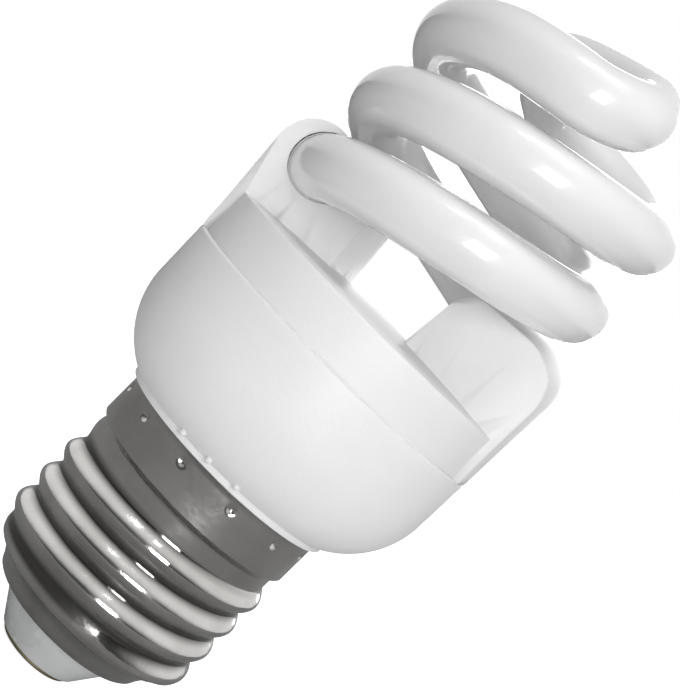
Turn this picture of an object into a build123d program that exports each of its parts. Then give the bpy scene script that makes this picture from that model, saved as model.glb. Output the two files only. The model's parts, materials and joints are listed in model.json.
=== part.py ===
from build123d import *
from math import acos, cos, degrees, pi, radians, sin, sqrt, tan
import os

os.makedirs("parts", exist_ok=True)

# A compact fluorescent lamp with a screw cap. +Z runs along the lamp from the cap to the spiral,
# the origin is the tip of the centre contact, and -Y faces the front of the two towers.
# All sizes are in millimetres, heights are above the tip and angles are about +Z from +X.

# Screw cap
crest_diameter = 26.2
thread_pitch = 3.629
thread_turns = 3.65
thread_foot = 9.6
ridge_radius = 1.5
root_radius = 12.1
skirt_radius = 12.8
skirt_foot = 24.4
rim_height = 29.3
rim_flare = 0.35
sheet = 0.35
cone_radius = 11.9
cone_height = 8.2
lip_outer = 9.6
lip_radius = 7.9
lip_height = 5.2
punch_count = 12
punch_radius = 0.6
punch_drop = 1.3

# Insulator and centre contact
insulator_foot = 5.0
insulator_foot_height = 0.8
insulator_flange = 9.2
insulator_top = 8.0
eyelet_radius = 1.5
eyelet_wall = 0.3
plate_radius = 4.6
plate_thickness = 0.5
solder_radius = 2.4

# Lower housing
seam_radius = 19.1
bowl_depth = 15.05
bowl_straight = 6.0
bowl_taper = 0.15
bowl_round = 10.4
bowl_turn = 59.0
collar_radius = 13.5
collar_height = 0.65
wall = 1.5
neck_depth = 3.6
neck_wall = 1.2
nub_radius = 0.4
nub_spacing = 15
fit_gap = 0.15

# Upper housing
ring_radius = 18.4
ring_height = 5.4
ring_crown = 0.9
cover_wall = 1.2
plug_depth = 2.4
plug_wall = 1.2
tower_half = 5.6
exit_top = 17.0
middle_top = 16.5
blind_top = 15.3
exit_edge = 19.6
middle_edge = 19.5
blind_edge = 18.4
gap_wide = 5.6
gap_narrow = 4.0
gap_lean = 1.4
top_slope = 0.8
outer_corner = 4.4
inner_corner = 2.8

# Spiral tube
tube_radius = 3.47
helix_radius = 14.48
helix_lead = 19.02
front_height = 61.4
tube_start = 168.0
helix_end = 630.0
tube_step = 42.0
bend_radius = 5.5
bend_steps = 3
bridge_height = 84.4
hole_gap = 0.15
cement_wall = 0.9

# Circuit board and its seat
board_thickness = 1.2
board_seat = 3.8
seat_width = 1.0
seat_height = 1.0
board_gap = 0.25

# Choke
choke_x = -5.0
choke_depth = 6.0
choke_width = 13.0
choke_height = 11.5
yoke = 1.8
centre_leg = 3.0
window_width = 3.4
bobbin_foot = 0.6
flange = 0.6
winding_depth = 9.2
winding_width = 9.2
core_gap = 0.1

# Other parts on the board
barrel_x = 6.2
barrel_y = -1.2
barrel_radius = 4.0
barrel_length = 14.0
film_places = ((4.7, -11.4), (-5.6, -11.2))
film_width = 7.0
film_depth = 3.4
film_height = 6.2
drive_x = 3.0
drive_y = 11.0
drive_outer = 4.2
drive_inner = 2.2
drive_height = 3.2
wrap = 0.5
transistor_turns = (120, 148)
transistor_radius = 13.2
transistor_width = 4.8
transistor_height = 4.8
diode_places = ((-5, 4.5), (-5, 8), (5, 4.5), (5, 8))
diode_radius = 1.3
diode_length = 5.0
resistor_places = ((-5, -4.5), (-5, -7.5), (5, -4.5), (5, -7.5))
resistor_radius = 0.9
resistor_length = 4.0
trigger_place = (0, -11.5)
trigger_length = 3.6
rod_place = (0, 0)
rod_radius = 2.4
rod_height = 5.6
wire_radius = 0.3
wire_inset = 0.15

# Wiring
fuse_radius = 1.4
fuse_length = 8.0
fuse_lift = 1.0
cable_radius = 0.45
live_x = 0.9
neutral_y = 10.3
wire_seat = 0.08
post_x = 12.6
post_ys = (-1.8, 1.8)
post_size = 0.8
post_height = 5.0
lead_radius = 0.25
lead_spread = 1.0
lead_reach = 1.0
lead_level = 50.0

crest_radius = crest_diameter / 2
seam_height = rim_height + collar_height + bowl_depth
bowl_waist = seam_radius - bowl_taper
bowl_centre = (bowl_waist - bowl_round, seam_height - bowl_straight)
neck_radius = skirt_radius - sheet - fit_gap
neck_bore = neck_radius - neck_wall
plug_radius = seam_radius - wall - fit_gap
cover_bore = plug_radius - plug_wall
board_bottom = seam_height - board_seat
board_top = board_bottom + board_thickness
board_radius = plug_radius - board_gap
ledge_height = seam_height + ring_height
window_place = (centre_leg + window_width) / 2


def on_bowl(angle, inset=0.0):
    """A point of the bowl's rounding, in the XZ plane, some degrees below its widest place."""
    radius = bowl_round - inset
    turn = radians(angle)
    return (bowl_centre[0] + radius * cos(turn), bowl_centre[1] - radius * sin(turn))


def dome_middle(radius, rise):
    """Half-way point of a shallow dome whose arc is centred on the axis, and its height."""
    sphere = (radius**2 + rise**2) / (2 * rise)
    return (radius / 2, rise - sphere + sqrt(sphere**2 - (radius / 2) ** 2))


def tower_face(plane, inner, outer_foot, outer_top, top, foot, shrink=0.0):
    """One section of the right tower: slanted inner side and two rounded top corners."""
    with BuildSketch(plane) as face:
        Polygon(
            (inner + shrink, foot),
            (outer_foot - shrink, foot),
            (outer_top - shrink, top - shrink),
            (inner + gap_lean + shrink, top - top_slope - shrink),
            align=None,
        )
        corners = face.vertices().sort_by(Axis.Y)[-2:].sort_by(Axis.X)
        fillet(corners[1], outer_corner - shrink)
        inner_vertex = face.vertices().sort_by(Axis.X).filter_by_position(Axis.X, inner, inner + 3)
        fillet(inner_vertex.sort_by(Axis.Y)[-1], inner_corner - shrink)
    return face.sketch


def tower_faces(shrink, foot):
    """The blind face, the middle and the exit face of the right tower."""
    half = tower_half - shrink
    face_foot = sqrt(seam_radius**2 - tower_half**2)
    middle_gap = (gap_wide + gap_narrow) / 2
    sizes = [
        (half, gap_narrow, face_foot, blind_edge, blind_top),
        (0, middle_gap, seam_radius, middle_edge, middle_top),
        (-half, gap_wide, face_foot, exit_edge, exit_top),
    ]
    return [
        tower_face(Plane.XZ.offset(y), inner, low, high, seam_height + top, foot, shrink)
        for y, inner, low, high, top in sizes
    ]


def helix_point(angle, radius=helix_radius):
    """A point of the front strand's centre line, which starts in the left tower."""
    turn = radians(angle)
    height = front_height + helix_lead * (angle - 270) / 360
    return (radius * cos(turn), radius * sin(turn), height)


def helix_corners(start, end):
    """Corners of a polyline whose rounded runs follow the helix between two angles."""
    steps = round((end - start) / tube_step)
    step = (end - start) / steps
    corner_radius = helix_radius / cos(radians(step / 2))
    return [helix_point(start + step * (i + 0.5), corner_radius) for i in range(steps)]


def bend_corners():
    """Corners of the bend in which a strand turns inwards and rises to the bridge."""
    centre = helix_radius - bend_radius
    turn = degrees(pi - acos(bend_radius / centre)) / bend_steps
    corner_radius = bend_radius / cos(radians(turn / 2))
    low = helix_point(helix_end - tube_step / 2)[2]
    corners = []
    for i in range(bend_steps):
        angle = radians(helix_end + turn * (i + 0.5))
        x = centre * cos(radians(helix_end)) + corner_radius * cos(angle)
        y = centre * sin(radians(helix_end)) + corner_radius * sin(angle)
        rise = ((i + 1) / bend_steps) ** 1.3
        corners.append((x, y, low + (bridge_height - low) * rise))
    return corners


def smooth_path(points):
    """Straight runs joined by the largest tangent arcs that they leave room for."""
    radii = []
    last = len(points) - 2
    for i in range(1, len(points) - 1):
        before = Vector(points[i]) - Vector(points[i - 1])
        after = Vector(points[i + 1]) - Vector(points[i])
        first_run = before.length * (2 if i == 1 else 1)
        last_run = after.length * (2 if i == last else 1)
        half_turn = radians(before.get_angle(after)) / 2
        radii.append(0.45 * min(first_run, last_run) / tan(half_turn))
    return FilletPolyline(*points, radius=radii)


def swept(points, radius):
    """A round bar along a smooth path."""
    with BuildPart() as bar:
        with BuildLine() as path:
            smooth_path(points)
        with BuildSketch(Plane(origin=path.line @ 0, z_dir=path.line % 0)):
            Circle(radius)
        sweep(path=path.line)
    return bar.part


def leg_piece(corners, radius):
    """A bar along the first corners of the front strand, to the middle of a run."""
    points = [helix_point(tube_start), *helix_corners(tube_start, helix_end)[: corners + 1]]
    points[-1] = tuple((a + b) / 2 for a, b in zip(points[-2], points[-1]))
    return swept(points, radius)


# Screw cap: rolled sheet with a right-handed knuckle thread, twelve crimp punches in its skirt
with BuildPart() as screw_shell:
    with BuildSketch(Plane.XZ):
        with BuildLine():
            Polyline(
                (0, lip_height),
                (lip_outer, lip_height + sheet),
                (cone_radius, cone_height),
                (root_radius, cone_height + 0.6),
                (root_radius, skirt_foot - 0.8),
                (skirt_radius, skirt_foot),
                (skirt_radius, rim_height - 0.6),
                (skirt_radius + rim_flare, rim_height),
                (0, rim_height),
                close=True,
            )
        make_face()
    revolve(axis=Axis.Z)
    with BuildLine(Plane.XY.offset(thread_foot)) as ridge:
        Helix(thread_pitch, thread_pitch * thread_turns, crest_radius - ridge_radius)
    with BuildSketch(Plane(origin=ridge.line @ 0, x_dir=(1, 0, 0), z_dir=ridge.line % 0)):
        Circle(ridge_radius)
    sweep(path=ridge.line, is_frenet=True)
    with BuildSketch(Plane.XZ):
        Polygon(
            (0, lip_height - 1),
            (lip_radius, lip_height - 1),
            (lip_radius, lip_height + sheet + 0.15),
            (lip_outer - 0.1, lip_height + 2 * sheet),
            (cone_radius - sheet - 0.1, cone_height + 0.1),
            (root_radius - sheet, cone_height + 0.7),
            (root_radius - sheet, skirt_foot - 0.8),
            (skirt_radius - sheet, skirt_foot),
            (skirt_radius - sheet, rim_height + 1),
            (0, rim_height + 1),
            align=None,
        )
    revolve(axis=Axis.Z, mode=Mode.SUBTRACT)
    with Locations((0, 0, rim_height - punch_drop)):
        with PolarLocations(skirt_radius + punch_radius * 0.6, punch_count, start_angle=-90 - 8):
            Sphere(punch_radius, mode=Mode.SUBTRACT)
screw_shell.part.label = "screw_shell"
export_step(screw_shell.part, "parts/screw_shell.step")

# Insulator: a moulded cone that fills the foot of the shell
lip_inside = lip_height + sheet + 0.15
with BuildPart() as cap_insulator:
    with BuildSketch(Plane.XZ):
        Polygon(
            (eyelet_radius, insulator_foot_height),
            (insulator_foot, insulator_foot_height),
            (lip_radius - 0.1, lip_height - 0.3),
            (lip_radius - 0.1, lip_inside),
            (insulator_flange, lip_inside + sheet),
            (insulator_flange, insulator_top),
            (eyelet_radius, insulator_top),
            align=None,
        )
    revolve(axis=Axis.Z)
    rim = cap_insulator.edges().filter_by(GeomType.CIRCLE).group_by(Axis.Z)[0].sort_by(SortBy.RADIUS)
    fillet(rim[-1], 0.35)
cap_insulator.part.label = "cap_insulator"
export_step(cap_insulator.part, "parts/cap_insulator.step")

# Centre contact: a brass plate with its eyelet, and the drop of solder that closes it
with BuildPart() as centre_contact:
    with BuildSketch(Plane.XY.offset(insulator_foot_height - plate_thickness)):
        Circle(plate_radius)
        Circle(eyelet_radius - eyelet_wall, mode=Mode.SUBTRACT)
    extrude(amount=plate_thickness)
    with BuildSketch(Plane.XY.offset(insulator_foot_height)):
        Circle(eyelet_radius)
        Circle(eyelet_radius - eyelet_wall, mode=Mode.SUBTRACT)
    extrude(amount=insulator_top - insulator_foot_height + 0.5)
    low_edge = centre_contact.edges().filter_by(GeomType.CIRCLE).group_by(Axis.Z)[0]
    fillet(low_edge.sort_by(SortBy.RADIUS)[-1], plate_thickness * 0.6)
centre_contact.part.label = "centre_contact"
export_step(centre_contact.part, "parts/centre_contact.step")

plate_bottom = insulator_foot_height - plate_thickness
drop_middle = dome_middle(solder_radius, plate_bottom)
with BuildPart() as contact_solder:
    with BuildSketch(Plane.XZ):
        with BuildLine():
            ThreePointArc(
                (0, 0),
                (drop_middle[0], plate_bottom - drop_middle[1]),
                (solder_radius, plate_bottom),
            )
            Line((solder_radius, plate_bottom), (0, plate_bottom))
            Line((0, plate_bottom), (0, 0))
        make_face()
    revolve(axis=Axis.Z)
    with BuildSketch(Plane.XY.offset(plate_bottom)):
        Circle(eyelet_radius - eyelet_wall)
    extrude(amount=plate_thickness + 0.6)
contact_solder.part.label = "contact_solder"
export_step(contact_solder.part, "parts/contact_solder.step")

# Lower housing: a moulded bowl with a collar, a neck inside the shell and a seat for the board
collar_foot = rim_height
neck_foot = rim_height - neck_depth
inner_turn = degrees(acos((neck_bore - bowl_centre[0]) / (bowl_round - wall)))
inner_foot = on_bowl(inner_turn, wall)
seat_foot = board_bottom - seat_height
with BuildPart() as lower_housing:
    with BuildSketch(Plane.XZ):
        with BuildLine():
            Line((seam_radius - wall, seam_height), (seam_radius, seam_height))
            Line((seam_radius, seam_height), (bowl_waist, bowl_centre[1]))
            ThreePointArc(on_bowl(0), on_bowl(bowl_turn / 2), on_bowl(bowl_turn))
            Polyline(
                on_bowl(bowl_turn),
                (collar_radius, collar_foot + collar_height),
                (collar_radius, collar_foot),
                (neck_radius, collar_foot),
                (neck_radius, neck_foot),
                (neck_bore, neck_foot),
                inner_foot,
            )
            ThreePointArc(inner_foot, on_bowl(inner_turn / 2, wall), on_bowl(0, wall))
            Polyline(
                on_bowl(0, wall),
                (seam_radius - wall - seat_width, seat_foot),
                (seam_radius - wall - seat_width, board_bottom),
                (seam_radius - wall, board_bottom),
                (seam_radius - wall, seam_height),
            )
        make_face()
    revolve(axis=Axis.Z)
    nub_place = on_bowl(bowl_turn - 2)
    for side in (-1, 0, 1):
        turn = radians(-90 + side * nub_spacing)
        with Locations((nub_place[0] * cos(turn), nub_place[0] * sin(turn), nub_place[1])):
            Sphere(nub_radius)
lower_housing.part.label = "lower_housing"
export_step(lower_housing.part, "parts/lower_housing.step")

# Upper housing: a domed ring between two hollow towers, which the tube's legs go into
with BuildPart() as tower_outside:
    loft(sections=tower_faces(0, seam_height))
with BuildPart() as tower_inside:
    loft(sections=tower_faces(cover_wall, seam_height + cover_wall))
leg_hole = leg_piece(2, tube_radius + hole_gap)
crown_middle = dome_middle(ring_radius, ring_crown)

with BuildPart() as upper_housing:
    with BuildSketch(Plane.XZ):
        with BuildLine():
            Polyline(
                (0, seam_height - plug_depth),
                (plug_radius, seam_height - plug_depth),
                (plug_radius, seam_height),
                (ring_radius, seam_height),
                (ring_radius, ledge_height),
            )
            ThreePointArc(
                (ring_radius, ledge_height),
                (crown_middle[0], ledge_height + crown_middle[1]),
                (0, ledge_height + ring_crown),
            )
            Line((0, ledge_height + ring_crown), (0, seam_height - plug_depth))
        make_face()
    revolve(axis=Axis.Z)
    add(tower_outside.part)
    add(tower_outside.part.rotate(Axis.Z, 180))
    with BuildSketch(Plane.XY.offset(seam_height - plug_depth)):
        Circle(cover_bore)
    extrude(amount=plug_depth + ring_height - cover_wall, mode=Mode.SUBTRACT)
    add(tower_inside.part, mode=Mode.SUBTRACT)
    add(tower_inside.part.rotate(Axis.Z, 180), mode=Mode.SUBTRACT)
    add(leg_hole, mode=Mode.SUBTRACT)
    add(leg_hole.rotate(Axis.Z, 180), mode=Mode.SUBTRACT)
upper_housing.part.label = "upper_housing"
export_step(upper_housing.part, "parts/upper_housing.step")

# Glass tube: two strands of one right-handed double helix, joined by a bridge over the top
front_half = [helix_point(tube_start), *helix_corners(tube_start, helix_end), *bend_corners()]
back_half = [(-x, -y, z) for x, y, z in reversed(front_half)]
with BuildPart() as spiral_tube:
    add(swept(front_half + back_half, tube_radius))
spiral_tube.part.label = "spiral_tube"
export_step(spiral_tube.part, "parts/spiral_tube.step")

# Cement that holds each leg of the tube in its tower
with BuildPart() as tube_cement:
    add(leg_piece(1, tube_radius + cement_wall))
    add(tower_inside.part.rotate(Axis.Z, 180), mode=Mode.INTERSECT)
    add(spiral_tube.part, mode=Mode.SUBTRACT)
    add(tube_cement.part.rotate(Axis.Z, 180))
tube_cement.part.label = "tube_cement"
export_step(tube_cement.part, "parts/tube_cement.step")

# Circuit board on its seat in the bowl
with BuildPart() as circuit_board:
    with BuildSketch(Plane.XY.offset(board_bottom)):
        Circle(board_radius)
    extrude(amount=board_thickness)
circuit_board.part.label = "circuit_board"
export_step(circuit_board.part, "parts/circuit_board.step")

# Choke: two E-shaped ferrite halves around a bobbin with its winding
choke_bottom = board_bottom - bobbin_foot - choke_height
with BuildPart() as choke_core:
    with BuildSketch(Plane.YZ.offset(choke_x - choke_depth / 2)):
        with Locations((0, choke_bottom + choke_height / 2)):
            Rectangle(choke_width, choke_height)
            with Locations((-window_place, 0), (window_place, 0)):
                Rectangle(window_width, choke_height - 2 * yoke, mode=Mode.SUBTRACT)
    extrude(amount=choke_depth)
choke_core.part.label = "choke_core"
export_step(choke_core.part, "parts/choke_core.step")

window_height = choke_height - 2 * yoke
with BuildPart() as choke_bobbin:
    for level in (choke_bottom + yoke, choke_bottom + yoke + window_height - flange):
        with BuildSketch(Plane.XY.offset(level)):
            with Locations((choke_x, 0)):
                Rectangle(winding_depth, winding_width)
        extrude(amount=flange)
    with BuildSketch(Plane.XY.offset(choke_bottom + yoke)):
        with Locations((choke_x, 0)):
            Rectangle(choke_depth + 2 * flange, centre_leg + 2 * flange)
    extrude(amount=window_height)
    with BuildSketch(Plane.XY.offset(choke_bottom + choke_height)):
        with Locations((choke_x, 0)):
            Rectangle(winding_depth, winding_width)
    extrude(amount=bobbin_foot)
    with BuildSketch(Plane.XY.offset(choke_bottom + yoke + window_height - flange)):
        with Locations((choke_x + choke_depth / 2 + 1, 0), (choke_x - choke_depth / 2 - 1, 0)):
            Rectangle(2 - 2 * core_gap, winding_width * 0.6)
    extrude(amount=flange + yoke + bobbin_foot)
    with BuildSketch(Plane.XY.offset(choke_bottom + yoke)):
        with Locations((choke_x, 0)):
            Rectangle(choke_depth + 2 * core_gap, centre_leg + 2 * core_gap)
    extrude(amount=window_height, mode=Mode.SUBTRACT)
choke_bobbin.part.label = "choke_bobbin"
export_step(choke_bobbin.part, "parts/choke_bobbin.step")

with BuildPart() as choke_winding:
    with BuildSketch(Plane.XY.offset(choke_bottom + yoke + flange)):
        with Locations((choke_x, 0)):
            RectangleRounded(winding_depth - 0.6, winding_width - 0.6, 2)
            Rectangle(choke_depth + 2 * flange, centre_leg + 2 * flange, mode=Mode.SUBTRACT)
    extrude(amount=window_height - 2 * flange)
choke_winding.part.label = "choke_winding"
export_step(choke_winding.part, "parts/choke_winding.step")

with BuildPart() as barrel_capacitor:
    with BuildSketch(Plane.XY.offset(board_bottom - barrel_length)):
        with Locations((barrel_x, barrel_y)):
            Circle(barrel_radius)
    extrude(amount=barrel_length)
    ends = barrel_capacitor.edges().filter_by(GeomType.CIRCLE)
    fillet(ends.group_by(Axis.Z)[0], 0.6)
barrel_capacitor.part.label = "barrel_capacitor"
export_step(barrel_capacitor.part, "parts/barrel_capacitor.step")

with BuildPart() as film_capacitors:
    with BuildSketch(Plane.XY.offset(board_bottom - film_height)):
        with Locations(*film_places):
            RectangleRounded(film_width, film_depth, 0.8)
    extrude(amount=film_height)
film_capacitors.part.label = "film_capacitors"
export_step(film_capacitors.part, "parts/film_capacitors.step")

# Ring transformer that drives the transistors, with three short windings on its ferrite ring
ring_level = board_bottom - wrap - drive_height
with BuildPart() as drive_ring:
    with BuildSketch(Plane.XY.offset(ring_level)):
        with Locations((drive_x, drive_y)):
            Circle(drive_outer)
            Circle(drive_inner, mode=Mode.SUBTRACT)
    extrude(amount=drive_height)
drive_ring.part.label = "drive_ring"
export_step(drive_ring.part, "parts/drive_ring.step")

with BuildPart() as drive_windings:
    for turn in (90, 210, 330):
        mid = (drive_outer + drive_inner) / 2
        x = drive_x + mid * cos(radians(turn))
        y = drive_y + mid * sin(radians(turn))
        width = drive_outer - drive_inner
        spot = Plane(origin=(x, y, ring_level - wrap), x_dir=(cos(radians(turn)), sin(radians(turn)), 0))
        with BuildSketch(spot):
            Rectangle(width + 2 * wrap, 2.2)
        extrude(amount=drive_height + 2 * wrap)
    add(drive_ring.part, mode=Mode.SUBTRACT)
drive_windings.part.label = "drive_windings"
export_step(drive_windings.part, "parts/drive_windings.step")

with BuildPart() as transistors:
    for turn in transistor_turns:
        place = Plane.XY.offset(board_bottom - transistor_height).rotated((0, 0, turn))
        with BuildSketch(place):
            with Locations((transistor_radius, 0)):
                Circle(transistor_width / 2)
                with Locations((transistor_width * 0.8, 0)):
                    Rectangle(transistor_width, 2 * transistor_width, mode=Mode.SUBTRACT)
        extrude(amount=transistor_height)
transistors.part.label = "transistors"
export_step(transistors.part, "parts/transistors.step")


def lying_barrels(places, radius, length):
    """Small barrels that lie along X on top of the board, each with two wires down into it."""
    middle = board_top + radius
    with BuildPart() as barrels:
        for x, y in places:
            with BuildSketch(Plane.YZ.offset(x - length / 2)):
                with Locations((y, middle)):
                    Circle(radius)
            extrude(amount=length)
            with BuildSketch(Plane.XY.offset(board_top)):
                with Locations((x, y)):
                    with Locations((-length / 2 - wire_inset, 0), (length / 2 + wire_inset, 0)):
                        Circle(wire_radius)
            extrude(amount=radius + wire_radius)
    return barrels.part


# Parts that lie on top of the board
with BuildPart() as rectifier_diodes:
    add(lying_barrels(diode_places, diode_radius, diode_length))
rectifier_diodes.part.label = "rectifier_diodes"
export_step(rectifier_diodes.part, "parts/rectifier_diodes.step")

with BuildPart() as resistors:
    add(lying_barrels(resistor_places, resistor_radius, resistor_length))
resistors.part.label = "resistors"
export_step(resistors.part, "parts/resistors.step")

with BuildPart() as trigger_diode:
    add(lying_barrels([trigger_place], resistor_radius, trigger_length))
trigger_diode.part.label = "trigger_diode"
export_step(trigger_diode.part, "parts/trigger_diode.step")

with BuildPart() as rod_inductor:
    with BuildSketch(Plane.XY.offset(board_top)):
        with Locations(rod_place):
            Circle(rod_radius)
    extrude(amount=rod_height)
rod_inductor.part.label = "rod_inductor"
export_step(rod_inductor.part, "parts/rod_inductor.step")

# Fusible resistor on the lamp's axis, and the wires from the cap to the board
fuse_top = insulator_top + fuse_lift + fuse_length
with BuildPart() as fusible_resistor:
    with BuildSketch(Plane.XY.offset(fuse_top - fuse_length)):
        Circle(fuse_radius)
    extrude(amount=fuse_length)
    with BuildSketch(Plane.XY.offset(plate_bottom + plate_thickness + 0.6)):
        Circle(wire_radius)
    extrude(amount=fuse_top - fuse_length - plate_bottom - plate_thickness - 0.6)
fusible_resistor.part.label = "fusible_resistor"
export_step(fusible_resistor.part, "parts/fusible_resistor.step")

with BuildPart() as live_wire:
    add(
        swept(
            [
                (0, 0, fuse_top),
                (0, 0, fuse_top + 2),
                (live_x, 0, fuse_top + 4.5),
                (live_x, 0, board_bottom),
            ],
            cable_radius,
        )
    )
live_wire.part.label = "live_wire"
export_step(live_wire.part, "parts/live_wire.step")

shell_inside = root_radius - sheet
with BuildPart() as neutral_wire:
    add(
        swept(
            [
                (0, -shell_inside + wire_seat, neck_foot - 2.5),
                (0, -neutral_y - 0.6, neck_foot - 2.2),
                (0, -neutral_y, neck_foot + 1),
                (0, -neutral_y, board_bottom),
            ],
            cable_radius,
        )
    )
neutral_wire.part.label = "neutral_wire"
export_step(neutral_wire.part, "parts/neutral_wire.step")

# Posts on the board, and the filament leads that come down to them from the tube's ends
start_x, start_y, start_z = helix_point(tube_start)
post_places = [(side * post_x, side * y) for side in (-1, 1) for y in post_ys]
with BuildPart() as wrap_posts:
    with BuildSketch(Plane.XY.offset(board_top)):
        with Locations(*post_places):
            Rectangle(post_size, post_size)
    extrude(amount=post_height)
wrap_posts.part.label = "wrap_posts"
export_step(wrap_posts.part, "parts/wrap_posts.step")

lead_x = post_x + post_size / 2 + lead_radius
with BuildPart() as filament_leads:
    for spread, post_y in ((lead_spread, post_ys[1]), (-lead_spread, post_ys[0])):
        lead = swept(
            [
                (start_x + spread, start_y - 0.3, start_z),
                (start_x + spread, start_y + lead_reach, start_z),
                (start_x + spread, start_y + lead_reach, lead_level),
                (-lead_x, post_y, board_top + post_height),
                (-lead_x, post_y, board_top + 1),
            ],
            lead_radius,
        )
        add(lead)
        add(lead.rotate(Axis.Z, 180))
    add(spiral_tube.part, mode=Mode.SUBTRACT)
filament_leads.part.label = "filament_leads"
export_step(filament_leads.part, "parts/filament_leads.step")
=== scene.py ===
import json
from math import acos, atan2, cos, degrees, hypot, pi, radians, sin

import bpy
from mathutils import Matrix, Vector


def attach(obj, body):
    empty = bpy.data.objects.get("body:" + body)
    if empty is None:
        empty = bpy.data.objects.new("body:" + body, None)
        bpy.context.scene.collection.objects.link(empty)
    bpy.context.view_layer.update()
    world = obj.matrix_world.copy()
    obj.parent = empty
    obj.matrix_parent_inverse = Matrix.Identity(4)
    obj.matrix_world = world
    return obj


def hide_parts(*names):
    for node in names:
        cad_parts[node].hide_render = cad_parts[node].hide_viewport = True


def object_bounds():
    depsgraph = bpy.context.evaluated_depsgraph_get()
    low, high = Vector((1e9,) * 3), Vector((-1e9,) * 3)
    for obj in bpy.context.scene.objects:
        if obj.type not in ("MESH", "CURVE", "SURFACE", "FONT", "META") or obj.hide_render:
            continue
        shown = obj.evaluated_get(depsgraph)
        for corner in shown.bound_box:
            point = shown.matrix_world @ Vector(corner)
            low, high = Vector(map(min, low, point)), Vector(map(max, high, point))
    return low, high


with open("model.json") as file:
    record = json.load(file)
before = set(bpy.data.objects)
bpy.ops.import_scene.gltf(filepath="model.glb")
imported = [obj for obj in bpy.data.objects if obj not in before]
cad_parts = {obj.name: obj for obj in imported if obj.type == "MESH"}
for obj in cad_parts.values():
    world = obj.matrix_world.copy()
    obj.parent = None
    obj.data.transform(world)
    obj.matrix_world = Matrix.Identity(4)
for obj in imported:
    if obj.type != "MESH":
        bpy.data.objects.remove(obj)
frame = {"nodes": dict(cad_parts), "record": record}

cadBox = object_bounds()
mm = 0.001
print("frame loaded")


# Selecting and small helpers
def onlySelect(piece):
    bpy.ops.object.select_all(action="DESELECT")
    piece.select_set(True)
    bpy.context.view_layer.objects.active = piece


def tidyMesh(piece, mergeDistance=0.002 * mm, smoothAngle=35):
    onlySelect(piece)
    bpy.ops.object.mode_set(mode="EDIT")
    bpy.ops.mesh.select_all(action="SELECT")
    bpy.ops.mesh.remove_doubles(threshold=mergeDistance)
    bpy.ops.mesh.normals_make_consistent(inside=False)
    bpy.ops.object.mode_set(mode="OBJECT")
    bpy.ops.object.shade_smooth_by_angle(angle=radians(smoothAngle))


def arcPoints(centre, radius, start, end, count):
    # points of an arc in the section plane, as (distance from the axis, height)
    turns = [radians(start + (end - start) * i / count) for i in range(count + 1)]
    return [(centre[0] + radius * cos(t), centre[1] + radius * sin(t)) for t in turns]


def turnedPiece(name, section, steps, isRing):
    # a section in millimetres, spun about the lamp's axis and closed
    mesh = bpy.data.meshes.new(name)
    corners = [(r * mm, 0, z * mm) for r, z in section]
    edges = [(i, i + 1) for i in range(len(corners) - 1)]
    if isRing:
        edges.append((len(corners) - 1, 0))
    mesh.from_pydata(corners, edges, [])
    piece = bpy.data.objects.new(name, mesh)
    bpy.context.collection.objects.link(piece)
    onlySelect(piece)
    bpy.ops.object.mode_set(mode="EDIT")
    bpy.ops.mesh.select_all(action="SELECT")
    bpy.ops.mesh.spin(steps=steps, angle=2 * pi, center=(0, 0, 0), axis=(0, 0, 1))
    bpy.ops.object.mode_set(mode="OBJECT")
    tidyMesh(piece)
    return piece


def curvedBar(name, points, radius, bevelSteps, runSteps):
    # a round bar along a smooth curve, points in millimetres, with closed ends
    curve = bpy.data.curves.new(name, "CURVE")
    curve.dimensions = "3D"
    spline = curve.splines.new("NURBS")
    spline.points.add(len(points) - 1)
    for point, (x, y, z) in zip(spline.points, points):
        point.co = (x * mm, y * mm, z * mm, 1)
    spline.order_u = 3
    spline.use_endpoint_u = True
    spline.resolution_u = runSteps
    curve.bevel_depth = radius * mm
    curve.bevel_resolution = bevelSteps
    curve.use_fill_caps = True
    piece = bpy.data.objects.new(name, curve)
    bpy.context.collection.objects.link(piece)
    onlySelect(piece)
    bpy.ops.object.convert(target="MESH")
    piece = bpy.context.view_layer.objects.active
    tidyMesh(piece, smoothAngle=50)
    return piece


def placePiece(piece, node, material):
    piece.data.materials.clear()
    piece.data.materials.append(material)
    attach(piece, "root")
    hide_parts(node)


slotOf = {part["node"]: part["material_slot"] for part in frame["record"]["subparts"]}


# Shader group: soft patches and fine grain over a surface, read from Object coordinates
def makeGrainGroup():
    group = bpy.data.node_groups.new("surfaceGrain", "ShaderNodeTree")
    for label, value in (("Patch Scale", 60.0), ("Grain Scale", 900.0)):
        socket = group.interface.new_socket(name=label, in_out="INPUT", socket_type="NodeSocketFloat")
        socket.default_value = value
    for label in ("Patches", "Grain"):
        group.interface.new_socket(name=label, in_out="OUTPUT", socket_type="NodeSocketFloat")
    nodes, links = group.nodes, group.links
    entry, leave = nodes.new("NodeGroupInput"), nodes.new("NodeGroupOutput")
    place = nodes.new("ShaderNodeTexCoord")
    for label, scaleLabel, detail in (("Patches", "Patch Scale", 5.0), ("Grain", "Grain Scale", 3.0)):
        noise = nodes.new("ShaderNodeTexNoise")
        noise.inputs["Detail"].default_value = detail
        spread = nodes.new("ShaderNodeMapRange")
        spread.inputs["From Min"].default_value = 0.35
        spread.inputs["From Max"].default_value = 0.65
        links.new(place.outputs["Object"], noise.inputs["Vector"])
        links.new(entry.outputs[scaleLabel], noise.inputs["Scale"])
        links.new(noise.outputs["Fac"], spread.inputs["Value"])
        links.new(spread.outputs["Result"], leave.inputs[label])
    return group


grainGroup = makeGrainGroup()


def mixColours(nodes, links, mask, low, high):
    mix = nodes.new("ShaderNodeMix")
    mix.data_type = "RGBA"
    mix.inputs["A"].default_value = (*low, 1)
    mix.inputs["B"].default_value = (*high, 1)
    links.new(mask, mix.inputs["Factor"])
    return mix


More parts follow.
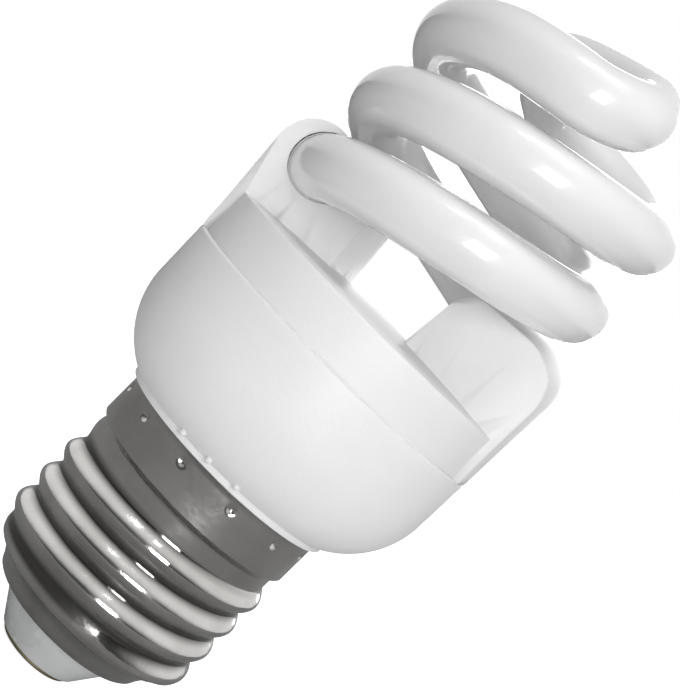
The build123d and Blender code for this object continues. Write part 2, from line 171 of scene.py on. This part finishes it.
def makeMaterial(name, look):
    material = bpy.data.materials.new(name)
    material.use_nodes = True
    nodes, links = material.node_tree.nodes, material.node_tree.links
    shader = nodes["Principled BSDF"]
    grain = nodes.new("ShaderNodeGroup")
    grain.node_tree = grainGroup
    grain.inputs["Patch Scale"].default_value = look.get("patchScale", 60.0)
    grain.inputs["Grain Scale"].default_value = look.get("grainScale", 900.0)
    patches = mixColours(nodes, links, grain.outputs["Patches"], look["dark"], look["light"])
    colour = patches.outputs["Result"]
    if "valleyShadeColour" in look:
        # painted shade: the thread's valleys are darker, by an attribute of the mesh
        groove = nodes.new("ShaderNodeAttribute")
        groove.attribute_name = "groove"
        valley = mixColours(nodes, links, groove.outputs["Fac"], look["dark"], look["valleyShadeColour"])
        links.new(colour, valley.inputs["A"])
        colour = valley.outputs["Result"]
    links.new(colour, shader.inputs["Base Color"])
    rough = nodes.new("ShaderNodeMapRange")
    rough.inputs["To Min"].default_value = look["smooth"]
    rough.inputs["To Max"].default_value = look["rough"]
    links.new(grain.outputs["Patches"], rough.inputs["Value"])
    links.new(rough.outputs["Result"], shader.inputs["Roughness"])
    bump = nodes.new("ShaderNodeBump")
    bump.inputs["Strength"].default_value = look.get("bump", 0.1)
    bump.inputs["Distance"].default_value = look.get("bumpDepth", 0.02) * mm
    links.new(grain.outputs["Grain"], bump.inputs["Height"])
    links.new(bump.outputs["Normal"], shader.inputs["Normal"])
    shader.inputs["Metallic"].default_value = look.get("metal", 0.0)
    shader.inputs["Coat Weight"].default_value = look.get("coat", 0.0)
    shader.inputs["Coat Roughness"].default_value = look.get("coatRoughness", 0.03)
    shader.inputs["IOR"].default_value = look.get("ior", 1.5)
    return material


# One finish for each material slot of the record
looks = {
    "white_housing": dict(dark=(0.78, 0.78, 0.78), light=(0.82, 0.82, 0.82), smooth=0.42, rough=0.5,
                          bump=0.25, bumpDepth=0.03, grainScale=2500.0),
    "phosphor_glass": dict(dark=(0.79, 0.79, 0.79), light=(0.83, 0.83, 0.83), smooth=0.3, rough=0.38,
                           coat=1.0, coatRoughness=0.02, bump=0.05, patchScale=90.0),
    "nickel_plate": dict(dark=(0.66, 0.65, 0.63), light=(0.80, 0.79, 0.77), smooth=0.06, rough=0.2,
                         metal=1.0, bump=0.3, bumpDepth=0.09, patchScale=170.0, grainScale=330.0,
                         # painted shade colour for the thread's valleys
                         valleyShadeColour=(0.16, 0.155, 0.145)),
    "cap_ceramic": dict(dark=(0.50, 0.51, 0.51), light=(0.64, 0.65, 0.65), smooth=0.2, rough=0.35,
                        coat=0.5, patchScale=140.0),
    "brass": dict(dark=(0.50, 0.42, 0.24), light=(0.68, 0.59, 0.36), smooth=0.25, rough=0.42, metal=1.0),
    "solder": dict(dark=(0.45, 0.45, 0.46), light=(0.66, 0.66, 0.67), smooth=0.28, rough=0.45, metal=1.0),
    "cement": dict(dark=(0.74, 0.74, 0.72), light=(0.80, 0.80, 0.78), smooth=0.7, rough=0.9, bump=0.6),
    "board": dict(dark=(0.36, 0.26, 0.12), light=(0.50, 0.38, 0.20), smooth=0.45, rough=0.6),
    "ferrite": dict(dark=(0.03, 0.03, 0.032), light=(0.07, 0.07, 0.075), smooth=0.5, rough=0.7),
    "bobbin_plastic": dict(dark=(0.015, 0.015, 0.015), light=(0.03, 0.03, 0.03), smooth=0.4, rough=0.5),
    "copper_wire": dict(dark=(0.38, 0.13, 0.05), light=(0.62, 0.26, 0.11), smooth=0.25, rough=0.4, metal=1.0),
    "capacitor_sleeve": dict(dark=(0.01, 0.015, 0.05), light=(0.02, 0.03, 0.09), smooth=0.25, rough=0.35),
    "film_resin": dict(dark=(0.22, 0.02, 0.01), light=(0.33, 0.04, 0.02), smooth=0.2, rough=0.3),
    "black_resin": dict(dark=(0.01, 0.01, 0.01), light=(0.025, 0.025, 0.025), smooth=0.5, rough=0.6),
    "resistor_lacquer": dict(dark=(0.42, 0.30, 0.14), light=(0.55, 0.42, 0.22), smooth=0.3, rough=0.4),
    "wire_sleeve": dict(dark=(0.52, 0.52, 0.50), light=(0.64, 0.64, 0.62), smooth=0.35, rough=0.45),
}
finishes = {slot: makeMaterial(slot, look) for slot, look in looks.items()}
for node, nodeObject in frame["nodes"].items():
    nodeObject.data.materials.clear()
    nodeObject.data.materials.append(finishes[slotOf[node]])
print("finishes made")

# Glass tube: a smooth curve through the corners of two mirrored strands
tube = dict(radius=3.47, helixRadius=14.48, lead=19.02, frontHeight=61.4, start=168.0, end=630.0,
            step=21.0, bendRadius=5.5, bendSteps=6, bridgeHeight=84.4, lowTurn=609.0, riseCurve=1.3,
            bevelSteps=14, runSteps=8)


def helixPoint(angle, radius):
    turn = radians(angle)
    height = tube["frontHeight"] + tube["lead"] * (angle - 270) / 360
    return (radius * cos(turn), radius * sin(turn), height)


def strandPoints():
    points = [helixPoint(tube["start"], tube["helixRadius"])]
    steps = round((tube["end"] - tube["start"]) / tube["step"])
    cornerRadius = tube["helixRadius"] / cos(radians(tube["step"] / 2))
    points += [helixPoint(tube["start"] + tube["step"] * (i + 0.5), cornerRadius) for i in range(steps)]
    low = helixPoint(tube["lowTurn"], 1)[2]
    for i, (x, y, z) in enumerate(points):
        points[i] = (x, y, min(z, low))
    centre = tube["helixRadius"] - tube["bendRadius"]
    turn = degrees(pi - acos(tube["bendRadius"] / centre)) / tube["bendSteps"]
    bendCorner = tube["bendRadius"] / cos(radians(turn / 2))
    endTurn = radians(tube["end"])
    for i in range(tube["bendSteps"]):
        angle = radians(tube["end"] + turn * (i + 0.5))
        rise = ((i + 1) / tube["bendSteps"]) ** tube["riseCurve"]
        points.append((centre * cos(endTurn) + bendCorner * cos(angle),
                       centre * sin(endTurn) + bendCorner * sin(angle),
                       low + (tube["bridgeHeight"] - low) * rise))
    return points


def makeTube():
    half = strandPoints()
    points = half + [(-x, -y, z) for x, y, z in reversed(half)]
    return curvedBar("glassTube", points, tube["radius"], tube["bevelSteps"], tube["runSteps"])


placePiece(makeTube(), "spiral_tube", finishes["phosphor_glass"])

# Cement at each leg: a solid bar that the leg runs through, cut by one plane at its outer end,
# so no dark gap shows beside the tube
cement = dict(radius=3.66, start=172, end=216, step=11, front=5.52, bevelSteps=10, runSteps=12)


def makeSleeve(turn):
    angles = range(cement["start"], cement["end"] + 1, cement["step"])
    points = [helixPoint(angle, tube["helixRadius"]) for angle in angles]
    piece = curvedBar("legCement", points, cement["radius"], cement["bevelSteps"], cement["runSteps"])
    bpy.ops.object.mode_set(mode="EDIT")
    bpy.ops.mesh.select_all(action="SELECT")
    bpy.ops.mesh.bisect(plane_co=(0, -cement["front"] * mm, 0), plane_no=(0, -1, 0), use_fill=True,
                        clear_outer=True)
    bpy.ops.object.mode_set(mode="OBJECT")
    piece.rotation_euler.z = turn
    bpy.ops.object.transform_apply(location=True, rotation=True, scale=True)
    return piece


def makeCement():
    first, second = makeSleeve(0), makeSleeve(pi)
    first.select_set(True)
    second.select_set(True)
    bpy.context.view_layer.objects.active = first
    bpy.ops.object.join()
    return first


placePiece(makeCement(), "tube_cement", finishes["cement"])
print("tube made")

# Screw shell: spun sheet with a knuckle thread, crimp punches and a rolled foot, with painted shade in the
# thread's valleys
shell = dict(crest=13.1, root=12.1, skirt=12.8, rimRadius=13.12, sheet=0.35, pitch=3.629, turns=3.65,
             threadFoot=9.6, runOut=0.35, runIn=0.3, foot=8.8, threadTop=23.6, skirtFoot=24.4, rim=29.3,
             rowStep=0.13, punches=12, punchTurn=-98.0, punchDrop=1.3, punchRadius=0.55, punchDepth=0.3,
             valleyShadeTop=22.0, valleyShadeStart=0.6, valleyShadeFade=0.8, valleyShadeWidth=1.9, valleyShadeEdge=1.5,
             crestShape=0.85, steps=360)


def shellSection():
    rows = round((shell["threadTop"] - shell["foot"]) / shell["rowStep"])
    thread = [(shell["root"], shell["foot"] + (shell["threadTop"] - shell["foot"]) * i / rows)
              for i in range(rows + 1)]
    skirtTop = shell["rim"] - 0.55
    skirtRows = [(shell["skirt"], shell["skirtFoot"] + (skirtTop - shell["skirtFoot"]) * i / 22)
                 for i in range(23)]
    inside = shell["sheet"]
    outer = [(7.9, 5.35), (8.1, 5.2), (9.35, 5.4), (9.6, 5.6), (9.95, 6.3), (10.5, 7.15), (11.2, 7.85),
             (11.75, 8.12), (11.9, 8.25), (11.98, 8.45), *thread,
             (12.2, 23.75), (12.45, 24.05), (12.68, 24.25), *skirtRows,
             (12.9, 28.95), (shell["rimRadius"], 29.15), (shell["rimRadius"], 29.3)]
    inner = [(12.75, 29.3), (12.45, 28.7), (12.45, 24.4), (shell["root"] - inside, 23.6),
             (shell["root"] - inside, 8.9), (11.3, 8.35), (10.2, 7.4), (9.4, 6.1), (9.1, 5.75), (7.9, 5.7)]
    return outer + inner


def threadHeight(angle, height):
    # 0 in a valley and 1 on a crest of the right-handed thread, which fades in and out
    best = 0.0
    for k in range(-1, 6):
        turn = angle / (2 * pi) + k
        before, after = turn + shell["runIn"], shell["turns"] - turn
        off = (height - shell["threadFoot"]) / shell["pitch"] - turn
        if min(before, after) <= 0 or abs(off) >= 0.5:
            continue
        fade = min(before / shell["runOut"], after / shell["runOut"], 1.0)
        fade = fade * fade * (3 - 2 * fade)
        best = max(best, fade * (0.5 + 0.5 * cos(2 * pi * off)) ** shell["crestShape"])
    return best


def makeShell():
    piece = turnedPiece("screwShell", shellSection(), shell["steps"], isRing=True)
    mesh = piece.data
    groove = mesh.attributes.new("groove", "FLOAT", "POINT")
    punchHeight = shell["rim"] - shell["punchDrop"]
    for vertex in mesh.vertices:
        x, y, z = (c / mm for c in vertex.co)
        radius, angle = hypot(x, y), atan2(y, x) % (2 * pi)
        grown = radius
        if shell["foot"] - 0.01 <= z <= 24.3 and radius > shell["root"] - 0.15:
            lift = threadHeight(angle, z)
            grown = max(radius, shell["root"] + (shell["crest"] - shell["root"]) * lift)
            # painted shade: the groove attribute is 1 deep in the thread's valleys and fades out near the
            # thread's foot and top
            inThread = min(1.0, max(0.0, (z - shell["foot"]) / shell["valleyShadeStart"]))
            above = min(1.0, max(0.0, (shell["valleyShadeTop"] - z) / shell["valleyShadeFade"]))
            valley = max(0.0, 1 - lift * shell["valleyShadeWidth"]) ** shell["valleyShadeEdge"]
            groove.data[vertex.index].value = inThread * above * valley
        elif radius > shell["skirt"] - 0.05 and abs(z - punchHeight) < 1.2:
            spacing = 2 * pi / shell["punches"]
            off = (angle - radians(shell["punchTurn"]) + spacing / 2) % spacing - spacing / 2
            away = hypot(off * shell["skirt"], z - punchHeight) / shell["punchRadius"]
            grown = radius - shell["punchDepth"] * max(0.0, 1 - away * away)
        vertex.co.x *= grown / radius
        vertex.co.y *= grown / radius
    mesh.update()
    return piece


placePiece(makeShell(), "screw_shell", finishes["nickel_plate"])
print("shell made")

# Lower housing: the bowl under the seam, its collar and three small nubs
bowl = dict(seam=19.1, seamHeight=45.0, taper=0.15, straight=6.0, round=10.4, turn=59.0, wall=1.5,
            collar=13.5, collarFoot=29.3, collarTop=29.95, neck=12.3, neckBore=11.1, neckFoot=25.7,
            groove=0.16, nub=0.4, nubTurns=(-105, -90, -75), steps=256)


def makeBowl():
    waist = bowl["seam"] - bowl["taper"]
    centre = (waist - bowl["round"], bowl["seamHeight"] - bowl["straight"])
    seam, top, cut = bowl["seam"], bowl["seamHeight"], bowl["groove"]
    outer = [(seam - bowl["wall"], top), (seam - 2 * cut, top), (seam - cut, top - cut / 2),
             (seam - cut / 4, top - cut), (seam, top - 2 * cut)]
    curve = arcPoints(centre, bowl["round"], 0, -bowl["turn"], 30)
    foot = [(bowl["collar"] + 0.05, bowl["collarTop"] + 0.06), (bowl["collar"], bowl["collarTop"] - 0.05),
            (bowl["collar"], bowl["collarFoot"] + 0.08), (bowl["collar"] - 0.08, bowl["collarFoot"]),
            (bowl["neck"], bowl["collarFoot"]), (bowl["neck"], bowl["neckFoot"]),
            (bowl["neckBore"], bowl["neckFoot"])]
    bore = acos((bowl["neckBore"] - centre[0]) / (bowl["round"] - bowl["wall"]))
    inner = arcPoints(centre, bowl["round"] - bowl["wall"], -degrees(bore), 0, 20)
    piece = turnedPiece("lowerHousing", outer + curve + foot + inner, bowl["steps"], isRing=True)
    nubRadius = centre[0] + bowl["round"] * cos(radians(bowl["turn"] - 2))
    nubHeight = centre[1] - bowl["round"] * sin(radians(bowl["turn"] - 2))
    for turn in bowl["nubTurns"]:
        place = [nubRadius * cos(radians(turn)) * mm, nubRadius * sin(radians(turn)) * mm, nubHeight * mm]
        bpy.ops.object.select_all(action="DESELECT")
        bpy.ops.mesh.primitive_uv_sphere_add(segments=20, ring_count=12, radius=bowl["nub"] * mm,
                                             location=place)
        nub = bpy.context.active_object
        bpy.ops.object.shade_smooth()
        bpy.ops.object.transform_apply(location=True, rotation=True, scale=True)
        piece.select_set(True)
        bpy.context.view_layer.objects.active = piece
        bpy.ops.object.join()
    return piece


placePiece(makeBowl(), "lower_housing", finishes["white_housing"])
print("bowl made")


# Upper housing: a merged copy of the CAD form, smoothed between its crisp edges
def makeTowers():
    source = frame["nodes"]["upper_housing"]
    piece = bpy.data.objects.new("upperHousing", source.data.copy())
    bpy.context.collection.objects.link(piece)
    onlySelect(piece)
    bpy.ops.object.transform_apply(location=True, rotation=True, scale=True)
    tidyMesh(piece, mergeDistance=0.001 * mm, smoothAngle=32)
    bpy.ops.object.modifier_add(type="WEIGHTED_NORMAL")
    piece.modifiers[-1].keep_sharp = True
    bpy.ops.object.modifier_apply(modifier=piece.modifiers[-1].name)
    return piece


# The ring between the towers is turned as a filled disc, a hair proud of the CAD form, for an even shine
ring = dict(radius=18.42, foot=45.02, top=50.42, crown=0.9, edge=0.22, groove=0.16, steps=256)


def makeRing():
    sphere = (ring["radius"] ** 2 + ring["crown"] ** 2) / (2 * ring["crown"])
    rings = [ring["radius"] * i / 24 for i in range(24)]
    dome = [(r, ring["top"] + ring["crown"] - sphere + (sphere ** 2 - r ** 2) ** 0.5) for r in rings]
    edge = arcPoints((ring["radius"] - ring["edge"], ring["top"] - ring["edge"]), ring["edge"], 80, 0, 6)
    side = [(ring["radius"], ring["foot"] + ring["groove"]), (ring["radius"] - ring["groove"], ring["foot"])]
    return turnedPiece("coverRing", [*dome, *edge, *side, (0, ring["foot"])], ring["steps"], isRing=False)


def makeUpperHousing():
    towers, cover = makeTowers(), makeRing()
    bpy.ops.object.select_all(action="DESELECT")
    cover.select_set(True)
    towers.select_set(True)
    bpy.context.view_layer.objects.active = towers
    bpy.ops.object.join()
    return towers


placePiece(makeUpperHousing(), "upper_housing", finishes["white_housing"])
print("towers made")

# Insulator, contact plate and its drop of solder
foot = dict(cornerRadius=0.45, steps=160)
drop = dict(radius=2.4, rise=0.3, plug=1.2, plugTop=1.4, steps=96)


def makeInsulator():
    corner = arcPoints((4.75, 1.25), foot["cornerRadius"], -90, -28, 6)
    section = [(1.5, 0.8), *corner, (7.55, 4.6), (7.8, 4.95), (7.8, 5.7), (9.2, 6.05), (9.2, 8.0), (1.5, 8.0)]
    return turnedPiece("capInsulator", section, foot["steps"], isRing=True)


def makeContact():
    rim = arcPoints((4.3, 0.58), 0.28, -90, 0, 6)
    section = [(1.2, 0.3), *rim, (4.58, 0.8), (1.5, 0.8), (1.5, 8.5), (1.2, 8.5)]
    return turnedPiece("contactPlate", section, foot["steps"], isRing=True)


def makeSolder():
    rise = drop["rise"]
    sphere = (drop["radius"] ** 2 + rise ** 2) / (2 * rise)
    rings = [drop["radius"] * i / 10 for i in range(11)]
    dome = [(r, sphere - (sphere ** 2 - r ** 2) ** 0.5) for r in rings]
    plug = [(drop["plug"], rise), (drop["plug"], drop["plugTop"]), (0, drop["plugTop"])]
    return turnedPiece("solderDrop", [*dome, *plug], drop["steps"], isRing=False)


placePiece(makeInsulator(), "cap_insulator", finishes["cap_ceramic"])
placePiece(makeContact(), "centre_contact", finishes["brass"])
placePiece(makeSolder(), "contact_solder", finishes["solder"])
print("cap made")

# Camera, at the photograph's place: the lamp leans to the upper right of the picture
shot = dict(distance=157.971, focal=1518.17, longSide=690, elevation=3.541, azimuth=5.0, roll=45.196,
            side=-0.205, height=46.0)


def makeCamera():
    a, e, roll = (radians(shot[key]) for key in ("azimuth", "elevation", "roll"))
    back = Vector((sin(a) * cos(e), -cos(a) * cos(e), sin(e)))
    right = Vector((cos(a), sin(a), 0))
    up = back.cross(right)
    across = right * cos(roll) + up * sin(roll)
    along = up * cos(roll) - right * sin(roll)
    target = right * shot["side"] * mm + Vector((0, 0, shot["height"] * mm))
    data = bpy.data.cameras.new("camera")
    data.sensor_width = 36
    data.lens = data.sensor_width * shot["focal"] / shot["longSide"]
    data.clip_start, data.clip_end = 0.01, 20
    camera = bpy.data.objects.new("camera", data)
    bpy.context.collection.objects.link(camera)
    turn = Matrix((across, along, back)).transposed().to_4x4()
    camera.matrix_world = Matrix.Translation(target + back * shot["distance"] * mm) @ turn
    bpy.context.scene.camera = camera


# Lamps of the studio: two panels overhead, a tall one in front and to the right, one behind
panels = [
    dict(name="topPanelLeft", place=(-0.085, -0.14, 0.50), size=(0.05, 0.15), power=0.36),
    dict(name="topPanelRight", place=(0.045, -0.14, 0.50), size=(0.05, 0.15), power=0.36),
    dict(name="frontPanel", place=(0.24, -0.59, 0.17), size=(0.22, 0.42), power=2.55),
    dict(name="backPanel", place=(0.04, 0.62, 0.22), size=(0.40, 0.40), power=1.9),
]


def makePanel(panel):
    data = bpy.data.lights.new(panel["name"], "AREA")
    data.shape = "RECTANGLE"
    data.size, data.size_y = panel["size"]
    data.energy = panel["power"]
    lamp = bpy.data.objects.new(panel["name"], data)
    bpy.context.collection.objects.link(lamp)
    lamp.location = panel["place"]
    aim = Vector((0, 0, 0.055)) - lamp.location
    lamp.rotation_euler = aim.to_track_quat("-Z", "Y").to_euler()


# Floor and world: pale in the picture. The floor's glow, for the camera only, weakens the lamp's shadow
stage = dict(floorSize=6.0, floorColour=(0.86, 0.86, 0.86), floorGlow=0.85, worldLight=0.25,
             mirrorFloor=0.22, mirrorLow=0.1, mirrorHigh=1.0, mirrorBack=0.6, mirrorUp=0.9)


def makeFloor():
    bpy.ops.object.select_all(action="DESELECT")
    bpy.ops.mesh.primitive_plane_add(size=stage["floorSize"], location=(0, 0, cadBox[0].z))
    floor = bpy.context.active_object
    floor.name = "floor"
    material = bpy.data.materials.new("floorPaper")
    material.use_nodes = True
    nodes, links = material.node_tree.nodes, material.node_tree.links
    shader = nodes["Principled BSDF"]
    shader.inputs["Roughness"].default_value = 0.9
    shader.inputs["Emission Color"].default_value = (1, 1, 1, 1)
    path = nodes.new("ShaderNodeLightPath")
    glow = nodes.new("ShaderNodeMath")
    glow.operation = "MULTIPLY"
    glow.inputs[1].default_value = stage["floorGlow"]
    links.new(path.outputs["Is Camera Ray"], glow.inputs[0])
    links.new(glow.outputs["Value"], shader.inputs["Emission Strength"])
    # painted reflection: glossy rays see the floor darker than the camera does, so the bright metal reflects
    # a darker table
    paintedTableReflection = [stage["mirrorFloor"]] * 3
    mirrored = mixColours(nodes, links, path.outputs["Is Glossy Ray"], stage["floorColour"], paintedTableReflection)
    links.new(mirrored.outputs["Result"], shader.inputs["Base Color"])
    floor.data.materials.append(material)


def makeWorld():
    world = bpy.data.worlds.new("studio")
    world.use_nodes = True
    bpy.context.scene.world = world
    nodes, links = world.node_tree.nodes, world.node_tree.links
    light = nodes["Background"]
    light.inputs["Color"].default_value = (1, 1, 1, 1)
    light.inputs["Strength"].default_value = stage["worldLight"]
    mirror, white = nodes.new("ShaderNodeBackground"), nodes.new("ShaderNodeBackground")
    place, split, ramp = (nodes.new("ShaderNode" + kind) for kind in ("TexCoord", "SeparateXYZ", "MapRange"))
    behind, higher = nodes.new("ShaderNodeMath"), nodes.new("ShaderNodeMath")
    behind.operation, higher.operation = "MULTIPLY", "MULTIPLY_ADD"
    behind.inputs[1].default_value = stage["mirrorBack"]
    higher.inputs[1].default_value = stage["mirrorUp"]
    ramp.interpolation_type = "SMOOTHSTEP"
    ramp.inputs["From Min"].default_value = -0.3
    ramp.inputs["From Max"].default_value = 0.6
    ramp.inputs["To Min"].default_value = stage["mirrorLow"]
    ramp.inputs["To Max"].default_value = stage["mirrorHigh"]
    links.new(place.outputs["Generated"], split.inputs["Vector"])
    links.new(split.outputs["Y"], behind.inputs[0])
    links.new(split.outputs["Z"], higher.inputs[0])
    links.new(behind.outputs["Value"], higher.inputs[2])
    links.new(higher.outputs["Value"], ramp.inputs["Value"])
    links.new(ramp.outputs["Result"], mirror.inputs["Strength"])
    path = nodes.new("ShaderNodeLightPath")
    glossy, seen = nodes.new("ShaderNodeMixShader"), nodes.new("ShaderNodeMixShader")
    links.new(path.outputs["Is Glossy Ray"], glossy.inputs["Fac"])
    links.new(light.outputs["Background"], glossy.inputs[1])
    links.new(mirror.outputs["Background"], glossy.inputs[2])
    links.new(path.outputs["Is Camera Ray"], seen.inputs["Fac"])
    links.new(glossy.outputs["Shader"], seen.inputs[1])
    links.new(white.outputs["Background"], seen.inputs[2])
    white.inputs["Color"].default_value = (1, 1, 1, 1)
    links.new(seen.outputs["Shader"], nodes["World Output"].inputs["Surface"])


makeCamera()
for panel in panels:
    makePanel(panel)
makeFloor()
makeWorld()
bpy.context.scene.view_settings.view_transform = "Standard"
print("studio made")
